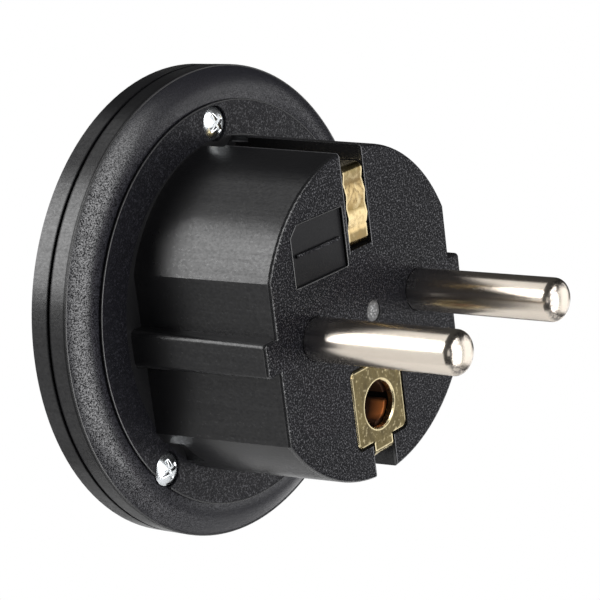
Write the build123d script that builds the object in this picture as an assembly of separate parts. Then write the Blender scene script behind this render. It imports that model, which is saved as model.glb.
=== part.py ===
"""Round plug adapter: an earthed two-pin plug behind a two-part disc with a multi-standard socket.

Millimetres. The pins point along -Y and +Z is up. The origin is the centre of the face that the pins leave.
"""
from build123d import *
import math
import os

# Plug pins
PIN_DIA = 4.8
PIN_SPACING = 19.0
PIN_REACH = 19.0
PIN_TIP_ROUND = 1.0
PIN_TIP_DOME = 0.6
PIN_NECK_DIA = 4.0
PIN_HOLE_DRAFT = 0.3
PIN_COLLAR_DIA = 7.0
PIN_COLLAR_THICK = 1.2
PIN_TAIL_DIA = 3.0
PIN_HEAD_DIA = 4.0
PIN_HEAD_THICK = 0.7

# Plug body
BODY_DIA = 36.8
BODY_FLATS = 32.1
BODY_LENGTH = 18.2
BODY_EDGE = 0.4
BODY_DRAFT = 0.5
FLAT_TOP_Z = 7.85
FLAT_LOW_Z = -9.95
RIB_SPAN = 36.2
RIB_WIDTH = 3.8
RIB_EDGE = 0.5
RIB_DRAFT = 0.25
WALL = 2.0
FACE_WALL = 4.0

# Flange, parting groove and front disc
FLANGE_DIA = 53.5
PLATEAU_DIA = 45.8
PLATEAU_STEP = 0.4
PLATEAU_BEVEL = 0.12
ROUNDOVER_DROP = 1.35
RIM_WIDTH = 2.15
RIM_WALL = 2.2
FLANGE_WALL = 2.2
GROOVE_WIDTH = 0.4
GROOVE_DEPTH = 0.8
COVER_RIM = 2.6
COVER_EDGE = 0.4
SPIGOT_WALL = 1.4

# Earth contacts on the plug face and in the side channels
CHANNEL_WIDTH = 3.9
UPPER_CHANNEL_FLOOR = 16.0
LOWER_CHANNEL_FLOOR = 15.3
CHANNEL_WALL = 1.2
CLIP_WIDTH = 3.4
CLIP_THICK = 0.6
CLIP_BEND = 0.5
CLIP_INNER_Z = 8.0
CLIP_SLOT_DEPTH = 1.8
CLIP_CREST = 0.2
CLIP_VALLEY = 0.5
CLIP_DIP = 0.4
CLIP_RUN_SHARES = (0.22, 0.36, 0.5, 0.66, 0.82)
CONTACT_TAIL_GAP = 1.2
PLATE_THICK = 0.8
PLATE_WIDTH = 9.0
PLATE_HEIGHT = 8.8
PLATE_CORNER = 0.9
PLATE_EDGE = 0.15
PLATE_Z = 9.95
PLATE_TAB_WIDTH = 3.3
PLATE_NECK_Z = 4.8
PLATE_CLEARANCE = 0.25
EARTH_HOLE_DIA = 5.3
EARTH_HOLE_Z = 10.4

# Slotted sleeve for the earth pin of a wall outlet
SLEEVE_BORE = 5.0
SLEEVE_WALL = 0.6
SLEEVE_COLLAR_THICK = 0.6
SLEEVE_COLLAR = 0.3
SLEEVE_SLOT = 0.9
SLEEVE_GAP = 0.5

# Earth bridge on the inner face of the plug wall
BRIDGE_THICK = 0.8
BRIDGE_WIDTH = 5.2
BRIDGE_EYE_WALL = 1.4
FOOT_LENGTH = 3.6
RIVET_DIA = 1.8
RIVET_HEAD_DIA = 3.0
RIVET_HEAD_THICK = 0.6
BRIDGE_SCREW_Z = 1.6
BRIDGE_SCREW_DEPTH = 2.4

# Socket contacts and apertures in the front disc
SOCKET_EARTH_Z = 11.0
SOCKET_EARTH_TO_LINE = 11.9
CONTACT_THICK = 0.6
CONTACT_WIDTH = 6.0
CONTACT_BEND = 0.6
INNER_LEAF_X = 5.0
MIDDLE_LEAF_X = 6.8
OUTER_LEAF_X = 12.8
BLADE_GAP = 1.2
BLADE_X = 6.35
ROUND_PIN_GAP = 4.2
LEAF_FLARE = 0.7
LEAF_FLARE_LENGTH = 1.6
LEAF_TIP_GAP = 0.6
EARTH_LEAF_WIDTH = 3.6
EARTH_LEAF_SPREAD = 6.6
EARTH_LEAF_GAP = 4.2
APERTURE_WIDTH = 6.9
APERTURE_HEIGHT = 5.0
APERTURE_CORNER = 1.6
APERTURE_INNER_X = 5.3
BLADE_SLOT_WIDTH = 2.0
BLADE_SLOT_HEIGHT = 7.4
BLADE_SLANT = 30.0
EARTH_APERTURE_WIDTH = 5.2
EARTH_APERTURE_HEIGHT = 7.0
COLLAR_WALL = 1.2
APERTURE_LEAD_IN = 0.4

# Cover screws
SCREW_ANGLES = (90.0, 222.7, 317.3)
SCREW_CIRCLE_DIA = 42.1
SCREW_CIRCLE_Z = -0.4
SCREW_HEAD_DIA = 3.7
SCREW_HEAD_HEIGHT = 1.2
SCREW_DIA = 2.0
SCREW_LENGTH = 5.4
SCREW_SEAT_DEPTH = 0.8
SCREW_SEAT_DIA = 4.0
SCREW_HOLE_DIA = 2.6
SCREW_BOSS_DIA = 5.2
CROSS_WIDTH = 0.55
CROSS_LENGTH = 2.3
CROSS_DEPTH = 0.6
SCALLOP_HEIGHT = 2.8
SCALLOP_DIA = 6.4

# Marks moulded on the plug face
PANEL_WIDTH = 9.3
PANEL_HEIGHT = 6.65
PANEL_X = -7.25
PANEL_Z = 9.4
PANEL_CORNER_CUT = 1.2
PANEL_DEPTH = 0.3
PANEL_BAR = 0.35
PANEL_BAR_SHARE = 0.82
GATE_DIA = 2.4
GATE_DEPTH = 0.12
GATE_X = 0.9

# Clearances
FIT = 0.05
PICK = 0.01
LOOSE = 0.2

# Places along the plug axis, from the pin face towards the socket
PLATEAU_Y = BODY_LENGTH
CREASE_Y = PLATEAU_Y + PLATEAU_STEP + ROUNDOVER_DROP
RIM_END_Y = CREASE_Y + RIM_WIDTH
COVER_BACK_Y = RIM_END_Y + GROOVE_WIDTH
FRONT_Y = COVER_BACK_Y + COVER_RIM
FLANGE_INNER_Y = PLATEAU_Y + FLANGE_WALL
SEAT_Y = PLATEAU_Y + SCREW_SEAT_DEPTH
COLLAR_END_Y = FLANGE_INNER_Y + LOOSE
LEAF_TIP_Y = COLLAR_END_Y - LEAF_TIP_GAP
CONTACT_BASE_Y = FACE_WALL + PIN_COLLAR_THICK
BRIDGE_TOP_Y = FACE_WALL + BRIDGE_THICK

# Radii and heights that several pieces share
BODY_R = BODY_DIA / 2
RIM_R = FLANGE_DIA / 2
MOUTH_R = RIM_R - RIM_WALL
PIN_X = PIN_SPACING / 2
CAVITY_TOP_Z = UPPER_CHANNEL_FLOOR - CHANNEL_WALL
CAVITY_LOW_Z = CHANNEL_WALL - LOWER_CHANNEL_FLOOR
SOCKET_LINE_Z = SOCKET_EARTH_Z - SOCKET_EARTH_TO_LINE
SLEEVE_R = SLEEVE_BORE / 2 + SLEEVE_WALL
CLIP_END_Y = BODY_LENGTH - CONTACT_TAIL_GAP


def slab(sketch, y_from, y_to):
    """Solid between two planes along the plug axis, from a sketch drawn with X to the right and Z up."""
    plane = Plane(origin=(0, y_to, 0), x_dir=(1, 0, 0), z_dir=(0, -1, 0))
    return extrude(plane * sketch, amount=y_to - y_from)


def rod(x, z, radius, y_from, y_to):
    """Round bar along the plug axis."""
    return slab(Pos(x, z) * Circle(radius), y_from, y_to)


def bent_strip(points, thickness, width, bend, plane):
    """Sheet strip of even thickness that follows a bent centre line in a plane."""
    path = FilletPolyline(*points, radius=bend)
    return extrude(plane * trace(path, line_width=thickness), amount=width / 2, both=True)


def body_outline():
    """Plug body section: two flat sides, set a little low, between an upper and a lower arc."""
    half = BODY_FLATS / 2
    upper = ThreePointArc((-half, FLAT_TOP_Z), (0, BODY_R), (half, FLAT_TOP_Z))
    lower = ThreePointArc((half, FLAT_LOW_Z), (0, -BODY_R), (-half, FLAT_LOW_Z))
    return make_face(upper + Line(upper @ 1, lower @ 0) + lower + Line(lower @ 1, upper @ 0))


def moulded(outline, draft):
    """Block from the pin face to the plateau whose section grows all round by the draft."""
    plane = Plane(origin=(0, PLATEAU_Y, 0), x_dir=(1, 0, 0), z_dir=(0, -1, 0))
    root = offset(outline, draft, kind=Kind.INTERSECTION)
    return extrude(plane * root, amount=PLATEAU_Y, taper=math.degrees(math.atan2(draft, PLATEAU_Y)))


def cavity_band(clearance=0.0):
    """Strip of the section that stays clear of the walls under both channels."""
    height = CAVITY_TOP_Z - CAVITY_LOW_Z - 2 * clearance
    return Pos(0, (CAVITY_TOP_Z + CAVITY_LOW_Z) / 2) * Rectangle(2 * BODY_R, height)


def screw_places():
    """Centres of the cover screws, seen from the pin side."""
    radius = SCREW_CIRCLE_DIA / 2
    turns = [math.radians(angle) for angle in SCREW_ANGLES]
    return [(radius * math.cos(turn), SCREW_CIRCLE_Z + radius * math.sin(turn)) for turn in turns]


def flange():
    """Disc with a flat raised plateau, a rounded shoulder that ends in a crease, and a straight rim."""
    shoulder = RIM_R - PLATEAU_DIA / 2
    radius = (shoulder**2 + ROUNDOVER_DROP**2) / (2 * ROUNDOVER_DROP)
    half_turn = math.asin(shoulder / radius) / 2
    shoulder_y = PLATEAU_Y + PLATEAU_STEP
    middle = (PLATEAU_DIA / 2 + radius * math.sin(half_turn), shoulder_y + radius * (1 - math.cos(half_turn)))
    start = (PLATEAU_DIA / 2, shoulder_y)
    end = (RIM_R, CREASE_Y)
    step_edge = (PLATEAU_DIA / 2, PLATEAU_Y + PLATEAU_BEVEL)
    top_edge = (PLATEAU_DIA / 2 - PLATEAU_BEVEL, PLATEAU_Y)
    outline = Polyline(start, step_edge, top_edge, (0, PLATEAU_Y), (0, RIM_END_Y), (RIM_R, RIM_END_Y), end)
    return revolve(Plane.XY * make_face(outline + ThreePointArc(start, middle, end)), Axis.Y)


def rating_panel():
    """Sunk five-sided panel on the plug face with a bar across its middle, left blank."""
    w, h, cut = PANEL_WIDTH / 2, PANEL_HEIGHT / 2, PANEL_CORNER_CUT
    outline = Polyline((-w, -h), (w, -h), (w, h), (-w + cut, h), (-w, h - cut), close=True)
    bar = Rectangle(PANEL_WIDTH * PANEL_BAR_SHARE, PANEL_BAR)
    return slab(Pos(PANEL_X, PANEL_Z) * (make_face(outline) - bar), 0, PANEL_DEPTH)


def plate_outline(clearance=0.0):
    """Earth plate section on the plug face, around the earth pin hole."""
    grow = 2 * clearance
    return Pos(0, -PLATE_Z) * RectangleRounded(PLATE_WIDTH + grow, PLATE_HEIGHT + grow, PLATE_CORNER)


def pin_hole():
    """Moulded hole for a pin, which widens inwards by its draft."""
    narrow = PIN_DIA / 2 + FIT
    wide = narrow + PIN_HOLE_DRAFT
    outline = Polyline((0, 0), (narrow, 0), (wide, FACE_WALL), (0, FACE_WALL), close=True)
    return revolve(Plane.XY * make_face(outline), Axis.Y)


def plug_housing():
    """Moulded plug body and flange in one piece, hollow from the socket side."""
    rib = RectangleRounded(RIB_SPAN, RIB_WIDTH, RIB_EDGE)
    shell = flange() + moulded(body_outline(), BODY_DRAFT) + moulded(rib, RIB_DRAFT)
    face_edges = shell.edges().filter_by_position(Axis.Y, -PICK, PICK)
    shell = fillet(face_edges, BODY_EDGE)

    cavity = offset(body_outline(), -WALL) & cavity_band()
    shell -= slab(cavity, FACE_WALL, RIM_END_Y)
    shell -= rod(0, 0, MOUTH_R, FLANGE_INNER_Y, RIM_END_Y)

    for side, floor in ((1, UPPER_CHANNEL_FLOOR), (-1, LOWER_CHANNEL_FLOOR)):
        channel = Pos(0, side * (floor + BODY_R / 2)) * Rectangle(CHANNEL_WIDTH, BODY_R)
        shell -= slab(channel, -BODY_EDGE, CLIP_END_Y + LOOSE)
        shell -= Pos(side * PIN_X, 0, 0) * pin_hole()

    window_z = CLIP_INNER_Z - CLIP_THICK / 2 - LOOSE
    slot = Pos(0, (window_z + BODY_R) / 2) * Rectangle(CHANNEL_WIDTH, BODY_R - window_z)
    shell -= slab(slot, -BODY_EDGE, CLIP_SLOT_DEPTH)
    shell -= slab(Pos(0, CLIP_INNER_Z) * Rectangle(CHANNEL_WIDTH, CLIP_THICK + 2 * LOOSE), 0, FACE_WALL)

    shell -= slab(plate_outline(PLATE_CLEARANCE), -BODY_EDGE, PLATE_THICK)
    neck_top = PLATE_NECK_Z - PLATE_THICK / 2 - LOOSE
    neck = Pos(0, -(neck_top + EARTH_HOLE_Z) / 2) * Rectangle(CHANNEL_WIDTH, EARTH_HOLE_Z - neck_top)
    shell -= slab(neck, -BODY_EDGE, PLATE_THICK)
    shell -= slab(Pos(0, -PLATE_NECK_Z) * Rectangle(CHANNEL_WIDTH, PLATE_THICK + 2 * LOOSE), 0, FACE_WALL)
    tab = Pos(0, -(EARTH_HOLE_Z + BODY_R) / 2) * Rectangle(CHANNEL_WIDTH, BODY_R - EARTH_HOLE_Z)
    shell -= slab(tab, -BODY_EDGE, PLATE_THICK + LOOSE)
    shell -= rod(0, -EARTH_HOLE_Z, SLEEVE_R + LOOSE, 0, FACE_WALL)

    for x, z in screw_places():
        shell -= rod(x, z, SCALLOP_DIA / 2, PLATEAU_Y - SCALLOP_HEIGHT, PLATEAU_Y)
        shell -= rod(x, z, SCREW_SEAT_DIA / 2, PLATEAU_Y, SEAT_Y)
        shell -= rod(x, z, SCREW_HOLE_DIA / 2, PLATEAU_Y, FLANGE_INNER_Y)

    shell -= rod(0, BRIDGE_SCREW_Z, RIVET_DIA / 2 + FIT, FACE_WALL - BRIDGE_SCREW_DEPTH - LOOSE, FACE_WALL)
    shell -= rating_panel()
    return shell - rod(GATE_X, 0, GATE_DIA / 2, 0, GATE_DEPTH)


def line_aperture(side):
    """Opening for a round pin, an upright blade or a slanted blade on one side of the socket."""
    body_x = APERTURE_INNER_X + APERTURE_WIDTH / 2
    opening = Pos(body_x, 0) * RectangleRounded(APERTURE_WIDTH, APERTURE_HEIGHT, APERTURE_CORNER)
    blade = Rectangle(BLADE_SLOT_WIDTH, BLADE_SLOT_HEIGHT)
    opening += Pos(BLADE_X, 0) * blade
    opening += Pos(BLADE_X + BLADE_SLOT_WIDTH / 2, 0) * Rot(0, 0, -BLADE_SLANT) * blade
    if side < 0:
        opening = mirror(opening, about=Plane.YZ)
    return Pos(0, SOCKET_LINE_Z) * opening


def earth_aperture():
    """Upright opening for the earth pin of the inserted plug."""
    return Pos(0, SOCKET_EARTH_Z) * SlotOverall(EARTH_APERTURE_HEIGHT, EARTH_APERTURE_WIDTH, rotation=90)


def apertures():
    """All three socket openings."""
    return [line_aperture(1), line_aperture(-1), earth_aperture()]


def front_cover():
    """Front disc with socket openings, guide collars behind them, a locating ring and three screw bosses."""
    disc = rod(0, 0, RIM_R, COVER_BACK_Y, FRONT_Y)
    disc = chamfer(disc.edges().filter_by_position(Axis.Y, FRONT_Y - PICK, FRONT_Y + PICK), COVER_EDGE)
    shoulder = rod(0, 0, RIM_R - GROOVE_DEPTH, RIM_END_Y, COVER_BACK_Y)
    spigot_r = MOUTH_R - FIT
    ring = rod(0, 0, spigot_r, COLLAR_END_Y, RIM_END_Y)
    hollow = rod(0, 0, spigot_r - SPIGOT_WALL, COLLAR_END_Y, COVER_BACK_Y)
    cover = disc + shoulder + ring - hollow
    for x, z in screw_places():
        boss = rod(x, z, SCREW_BOSS_DIA / 2, FLANGE_INNER_Y, COVER_BACK_Y)
        cover += boss & rod(0, 0, spigot_r, FLANGE_INNER_Y, COVER_BACK_Y)
    for opening in apertures():
        cover += slab(offset(opening, COLLAR_WALL), COLLAR_END_Y, COVER_BACK_Y)
    for opening in apertures():
        cover -= slab(opening, COLLAR_END_Y, FRONT_Y)
        cover -= slab(offset(opening, APERTURE_LEAD_IN), FRONT_Y - APERTURE_LEAD_IN, FRONT_Y)
    for x, z in screw_places():
        cover -= rod(x, z, SCREW_DIA / 2 + FIT, FLANGE_INNER_Y, SEAT_Y + SCREW_LENGTH + LOOSE)
    return cover


def plug_pin(side):
    """Turned pin with a rounded, slightly domed tip, an inner collar and a tail riveted over its contact."""
    r = PIN_DIA / 2
    tip = -PIN_REACH
    head_y = CONTACT_BASE_Y + CONTACT_THICK
    dome_y = tip + PIN_TIP_DOME
    dome_r = (r**2 + PIN_TIP_DOME**2) / (2 * PIN_TIP_DOME)
    half = math.asin(r / dome_r) / 2
    middle = (dome_r * math.sin(half), tip + dome_r * (1 - math.cos(half)))
    outline = Polyline(
        (r, dome_y),
        (r, 0),
        (PIN_NECK_DIA / 2, 0),
        (PIN_NECK_DIA / 2, FACE_WALL),
        (PIN_COLLAR_DIA / 2, FACE_WALL),
        (PIN_COLLAR_DIA / 2, CONTACT_BASE_Y),
        (PIN_TAIL_DIA / 2, CONTACT_BASE_Y),
        (PIN_TAIL_DIA / 2, head_y),
        (PIN_HEAD_DIA / 2, head_y),
        (PIN_HEAD_DIA / 2 - PIN_HEAD_THICK / 2, head_y + PIN_HEAD_THICK),
        (0, head_y + PIN_HEAD_THICK),
        (0, tip),
    )
    pin = revolve(Plane.XY * make_face(outline + ThreePointArc((0, tip), middle, (r, dome_y))), Axis.Y)
    dome_edge = pin.edges().filter_by_position(Axis.Y, dome_y - PICK, dome_y + PICK)
    return Pos(side * PIN_X, 0, 0) * fillet(dome_edge, PIN_TIP_ROUND)


def line_contact(side):
    """Folded socket contact: a base riveted to the pin and three sprung leaves for blades and round pins."""
    t = CONTACT_THICK
    base_y = CONTACT_BASE_Y + t / 2
    pinch_y = LEAF_TIP_Y - LEAF_FLARE_LENGTH
    middle_pinch = BLADE_X + BLADE_GAP / 2 + t / 2
    inner_pinch = BLADE_X - BLADE_GAP / 2 - t / 2
    outer_pinch = middle_pinch + ROUND_PIN_GAP + t
    path = [
        (inner_pinch - LEAF_FLARE, LEAF_TIP_Y),
        (inner_pinch, pinch_y),
        (INNER_LEAF_X, (base_y + pinch_y) / 2),
        (INNER_LEAF_X, base_y),
        (OUTER_LEAF_X, base_y),
        (OUTER_LEAF_X, (base_y + pinch_y) / 2),
        (outer_pinch, pinch_y),
        (outer_pinch + LEAF_FLARE, LEAF_TIP_Y),
    ]
    clip = bent_strip(path, t, CONTACT_WIDTH, CONTACT_BEND, Plane.XY)
    middle = [
        (MIDDLE_LEAF_X, base_y),
        (MIDDLE_LEAF_X, (base_y + pinch_y) / 2),
        (middle_pinch, pinch_y),
        (middle_pinch, LEAF_TIP_Y),
    ]
    clip += bent_strip(middle, t, CONTACT_WIDTH, CONTACT_BEND, Plane.XY)
    clip = Pos(0, 0, SOCKET_LINE_Z / 2) * clip
    clip -= rod(PIN_X, 0, PIN_TAIL_DIA / 2 + FIT, CONTACT_BASE_Y, CONTACT_BASE_Y + t)
    return clip if side > 0 else mirror(clip, about=Plane.YZ)


def earth_top_clip():
    """Brass strip in the upper channel, folded over the plug face with two spring bumps and led inside."""
    t = CLIP_THICK
    leg_z = UPPER_CHANNEL_FLOOR + t / 2
    foot_y = BRIDGE_TOP_Y + t / 2
    run = leg_z - CLIP_INNER_Z
    depths = (CLIP_VALLEY, CLIP_CREST, CLIP_DIP, CLIP_CREST, CLIP_VALLEY)
    bumps = [(depth, CLIP_INNER_Z + share * run) for depth, share in zip(depths, CLIP_RUN_SHARES)]
    path = [
        (foot_y, CLIP_INNER_Z - FOOT_LENGTH),
        (foot_y, CLIP_INNER_Z),
        (CLIP_VALLEY, CLIP_INNER_Z),
        *bumps,
        (CLIP_CREST, leg_z),
        (CLIP_END_Y, leg_z),
    ]
    clip = bent_strip(path, t, CLIP_WIDTH, CLIP_BEND, Plane.YZ)
    return clip - rod(0, CLIP_INNER_Z - FOOT_LENGTH / 2, RIVET_DIA / 2 + FIT, BRIDGE_TOP_Y, BRIDGE_TOP_Y + t)


def earth_bottom_plate():
    """Brass plate around the earth pin hole, with a tab in the lower channel and a neck led inside."""
    t = PLATE_THICK
    leg_z = -(LOWER_CHANNEL_FLOOR + t / 2)
    foot_y = BRIDGE_TOP_Y + t / 2
    path = [
        (foot_y, -PLATE_NECK_Z + FOOT_LENGTH),
        (foot_y, -PLATE_NECK_Z),
        (t / 2, -PLATE_NECK_Z),
        (t / 2, leg_z),
        (CLIP_END_Y, leg_z),
    ]
    hole_r = EARTH_HOLE_DIA / 2
    plate = slab(plate_outline() - Pos(0, -EARTH_HOLE_Z) * Circle(hole_r), 0, t)
    plate = chamfer(plate.edges().filter_by_position(Axis.Y, -PICK, PICK), PLATE_EDGE)
    strip = bent_strip(path, t, PLATE_TAB_WIDTH, CLIP_BEND, Plane.YZ)
    plate += strip - rod(0, -EARTH_HOLE_Z, hole_r + PLATE_EDGE, 0, t)
    rivet_z = -PLATE_NECK_Z + FOOT_LENGTH / 2
    return plate - rod(0, rivet_z, RIVET_DIA / 2 + FIT, BRIDGE_TOP_Y, BRIDGE_TOP_Y + t)


def earth_pin_sleeve():
    """Slotted tube behind the earth plate with a collar that seats on the bridge."""
    front = PLATE_THICK + SLEEVE_GAP
    end = BRIDGE_TOP_Y + SLEEVE_COLLAR_THICK
    tube = rod(0, 0, SLEEVE_R, front, end)
    tube += rod(0, 0, SLEEVE_R + SLEEVE_COLLAR, BRIDGE_TOP_Y, end)
    tube -= rod(0, 0, SLEEVE_BORE / 2, front, end)
    across = 2 * (SLEEVE_R + SLEEVE_COLLAR)
    cross = Rectangle(across, SLEEVE_SLOT) + Rectangle(SLEEVE_SLOT, across)
    slots = slab(cross, front, BRIDGE_TOP_Y - FIT)
    return Pos(0, 0, -EARTH_HOLE_Z) * (tube - slots)


def earth_bridge():
    """Brass strap on the inner face of the plug wall that joins every earth contact."""
    top = SOCKET_EARTH_Z + EARTH_LEAF_WIDTH / 2
    eye_r = SLEEVE_R + FIT + BRIDGE_EYE_WALL
    strap = Pos(0, (top - EARTH_HOLE_Z) / 2) * Rectangle(BRIDGE_WIDTH, top + EARTH_HOLE_Z)
    strap += Pos(0, -EARTH_HOLE_Z) * Circle(eye_r) & cavity_band(LOOSE)
    strap -= Pos(0, -EARTH_HOLE_Z) * Circle(SLEEVE_R + FIT)
    strap -= Pos(0, CLIP_INNER_Z) * Rectangle(CLIP_WIDTH + 2 * LOOSE, CLIP_THICK + 2 * LOOSE)
    strap -= Pos(0, -PLATE_NECK_Z) * Rectangle(PLATE_TAB_WIDTH + 2 * LOOSE, PLATE_THICK + 2 * LOOSE)
    for z in (*rivet_places(), BRIDGE_SCREW_Z):
        strap -= Pos(0, z) * Circle(RIVET_DIA / 2 + FIT)
    return slab(strap, FACE_WALL, BRIDGE_TOP_Y)


def rivet_places():
    """Heights of the rivets on the bridge: socket contact, upper clip and lower plate."""
    return (SOCKET_EARTH_Z, CLIP_INNER_Z - FOOT_LENGTH / 2, -PLATE_NECK_Z + FOOT_LENGTH / 2)


def earth_rivets():
    """Flush-ended rivets that hold the earth contacts to the bridge."""
    thick = (CONTACT_THICK, CLIP_THICK, PLATE_THICK)
    rivets = []
    for z, sheet in zip(rivet_places(), thick):
        seat = BRIDGE_TOP_Y + sheet
        shank = rod(0, z, RIVET_DIA / 2, FACE_WALL, seat)
        rivets.append(shank + rod(0, z, RIVET_HEAD_DIA / 2, seat, seat + RIVET_HEAD_THICK))
    return Compound(children=rivets)


def bridge_screw():
    """Screw that holds the bridge to the plug wall."""
    shank = rod(0, BRIDGE_SCREW_Z, RIVET_DIA / 2, FACE_WALL - BRIDGE_SCREW_DEPTH, BRIDGE_TOP_Y)
    head = rod(0, BRIDGE_SCREW_Z, RIVET_HEAD_DIA / 2, BRIDGE_TOP_Y, BRIDGE_TOP_Y + RIVET_HEAD_THICK)
    slot = Pos(0, BRIDGE_SCREW_Z) * Rectangle(RIVET_HEAD_DIA, CROSS_WIDTH)
    return shank + head - slab(slot, BRIDGE_TOP_Y + RIVET_HEAD_THICK / 2, BRIDGE_TOP_Y + RIVET_HEAD_THICK)


def socket_earth_contact():
    """Sprung fork for the earth pin of the inserted plug."""
    t = CONTACT_THICK
    base_y = BRIDGE_TOP_Y + t / 2
    pinch_y = LEAF_TIP_Y - LEAF_FLARE_LENGTH
    spread = EARTH_LEAF_SPREAD / 2
    pinch = EARTH_LEAF_GAP / 2 + t / 2
    knee_y = (base_y + pinch_y) / 2
    tip = (pinch + LEAF_FLARE, LEAF_TIP_Y)
    right = [(spread, base_y), (spread, knee_y), (pinch, pinch_y), tip]
    left = [(-x, y) for x, y in reversed(right)]
    fork = bent_strip(left + right, t, EARTH_LEAF_WIDTH, CONTACT_BEND, Plane.XY)
    fork = Pos(0, 0, SOCKET_EARTH_Z) * fork
    return fork - rod(0, SOCKET_EARTH_Z, RIVET_DIA / 2 + FIT, BRIDGE_TOP_Y, BRIDGE_TOP_Y + t)


def cover_screws():
    """Round-headed cross-recess screws through the flange into the front disc's bosses."""
    head_y = SEAT_Y - SCREW_HEAD_HEIGHT
    dome_r = (SCREW_HEAD_DIA**2 / 4 + SCREW_HEAD_HEIGHT**2) / (2 * SCREW_HEAD_HEIGHT)
    half = math.asin(SCREW_HEAD_DIA / 2 / dome_r) / 2
    middle = (dome_r * math.sin(half), head_y + dome_r * (1 - math.cos(half)))
    rim = (SCREW_HEAD_DIA / 2, SEAT_Y)
    end_y = SEAT_Y + SCREW_LENGTH
    shank_r = SCREW_DIA / 2
    outline = Polyline(rim, (shank_r, SEAT_Y), (shank_r, end_y), (0, end_y), (0, head_y))
    screw = revolve(Plane.XY * make_face(outline + ThreePointArc((0, head_y), middle, rim)), Axis.Y)
    cross = Rectangle(CROSS_LENGTH, CROSS_WIDTH) + Rectangle(CROSS_WIDTH, CROSS_LENGTH)
    screw -= slab(cross, head_y, head_y + CROSS_DEPTH)
    return Compound(children=[Pos(x, 0, z) * screw for x, z in screw_places()])


def main():
    """Build every node and write one file for each."""
    os.makedirs("parts", exist_ok=True)
    nodes = {
        "plug_housing": plug_housing(),
        "front_cover": front_cover(),
        "line_pin": plug_pin(1),
        "neutral_pin": plug_pin(-1),
        "line_contact": line_contact(1),
        "neutral_contact": line_contact(-1),
        "earth_top_clip": earth_top_clip(),
        "earth_bottom_plate": earth_bottom_plate(),
        "earth_pin_sleeve": earth_pin_sleeve(),
        "earth_bridge": earth_bridge(),
        "earth_rivets": earth_rivets(),
        "bridge_screw": bridge_screw(),
        "socket_earth_contact": socket_earth_contact(),
        "cover_screws": cover_screws(),
    }
    for name, shape in nodes.items():
        export_step(shape, f"parts/{name}.step")


if __name__ == "__main__":
    main()
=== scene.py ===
"""Dresses the round plug adapter for a studio picture.

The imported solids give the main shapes. This script adds the finishes, turned pins, cover screws with a
rounded drive recess, thin moulded lines, the light, the floor and the camera.
"""

import logging
from dataclasses import dataclass
from enum import Enum
from typing import Any

import bpy
import numpy as np
from mathutils import Matrix, Vector


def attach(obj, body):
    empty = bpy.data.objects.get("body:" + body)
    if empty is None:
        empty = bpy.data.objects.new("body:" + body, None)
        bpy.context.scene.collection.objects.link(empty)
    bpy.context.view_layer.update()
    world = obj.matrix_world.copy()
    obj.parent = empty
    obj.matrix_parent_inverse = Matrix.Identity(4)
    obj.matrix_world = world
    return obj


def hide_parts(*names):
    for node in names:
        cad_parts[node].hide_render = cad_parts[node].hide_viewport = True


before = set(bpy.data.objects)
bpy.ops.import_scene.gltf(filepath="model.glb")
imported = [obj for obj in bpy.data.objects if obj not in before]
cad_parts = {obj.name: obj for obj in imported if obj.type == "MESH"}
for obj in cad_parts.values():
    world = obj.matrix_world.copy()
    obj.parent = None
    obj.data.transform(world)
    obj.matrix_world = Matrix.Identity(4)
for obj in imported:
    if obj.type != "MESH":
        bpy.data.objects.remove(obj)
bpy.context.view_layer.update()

LOG = logging.getLogger("plug_adapter")
MM = 0.001
NOISE_MEAN = 0.5
PIN_X = 9.5
PANEL_X = -7.25
PANEL_Z = 9.4
Triple = tuple[float, float, float]
Colour = Triple
Span = tuple[float, float]


class Axis(Enum):
    """Axis of a pattern in the part's frame, by its place in a vector."""

    X = 0
    Y = 1
    Z = 2


@dataclass(frozen=True)
class Pattern:
    """Noise: lumps per metre on each axis or all three, octaves, share of each next one, span to stretch."""

    scale: float | Triple
    detail: float = 3.0
    rough: float = 0.6
    span: Span | None = None


@dataclass(eq=False)
class Sock:
    """One shader value. Arithmetic on it adds Math nodes to its graph."""

    graph: "Graph"
    socket: Any

    def _math(self, operation: str, *others: Any, clamp: bool = False) -> "Sock":
        """Adds one Math node with this value first.

        Args:
            operation: Name of the Math operation.
            others: Numbers or values for the other inputs.
            clamp: Whether the result is held between 0 and 1.

        Returns:
            The result as a value.
        """
        settings = {"operation": operation, "use_clamp": clamp}
        made = self.graph.node("ShaderNodeMath", settings, dict(enumerate((self, *others))))
        return Sock(self.graph, made.outputs[0])

    def __add__(self, other: Any) -> "Sock":
        """Sum."""
        return self._math("ADD", other)

    __radd__ = __add__

    def __mul__(self, other: Any) -> "Sock":
        """Product."""
        return self._math("MULTIPLY", other)

    __rmul__ = __mul__

    def __sub__(self, other: Any) -> "Sock":
        """Difference."""
        return self._math("SUBTRACT", other)

    def __rsub__(self, other: float) -> "Sock":
        """Number less this value."""
        return (self * -1.0) + other

    def __truediv__(self, other: Any) -> "Sock":
        """Quotient."""
        return self._math("DIVIDE", other)

    def __pow__(self, other: Any) -> "Sock":
        """Power."""
        return self._math("POWER", other)

    def __lt__(self, other: Any) -> "Sock":
        """1 where this value is the smaller, else 0."""
        return self._math("LESS_THAN", other)

    def __gt__(self, other: Any) -> "Sock":
        """1 where this value is the larger, else 0."""
        return self._math("GREATER_THAN", other)

    def __abs__(self) -> "Sock":
        """Size without sign."""
        return self._math("ABSOLUTE")

    def clamped(self) -> "Sock":
        """This value held between 0 and 1."""
        return self._math("ADD", 0.0, clamp=True)

    def sine(self) -> "Sock":
        """Sine of this value as an angle in radians."""
        return self._math("SINE")

    def root(self) -> "Sock":
        """Square root."""
        return self._math("SQRT")

    def swing(self) -> "Sock":
        """This noise value less its mean."""
        return self - NOISE_MEAN


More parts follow.
